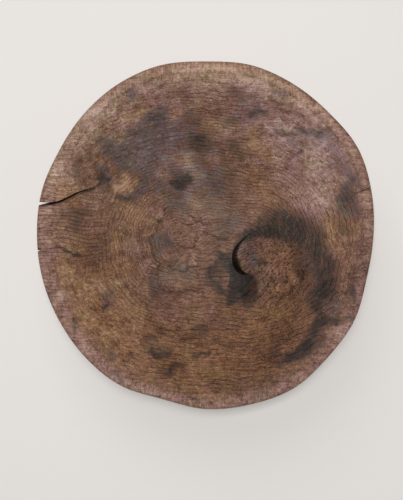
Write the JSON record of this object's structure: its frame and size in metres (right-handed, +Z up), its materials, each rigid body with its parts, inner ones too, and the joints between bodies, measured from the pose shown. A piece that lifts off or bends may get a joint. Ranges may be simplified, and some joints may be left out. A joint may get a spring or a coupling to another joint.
{
  "type": "burl wood bowl",
  "caption": "Round bowl carved from burl wood, with a thick uneven rounded lip, a drying split through the wall, a knot with a crescent crevice in the floor, and a flat foot.",
  "frame": {"origin": "middle of the flat foot, on the surface that the bowl stands on", "axes": "+Z up out of the bowl's mouth, +X along the wood's grain, towards the side with the short check"},
  "size_m": [0.3064, 0.3156, 0.092],
  "materials": {
    "burl_wood": "dry-rubbed satin burl wood, worn and stained, with dark mineral stains and fine grain"
  },
  "bodies": {
    "root": {"bowl": "burl_wood"}
  },
  "joints": []
}
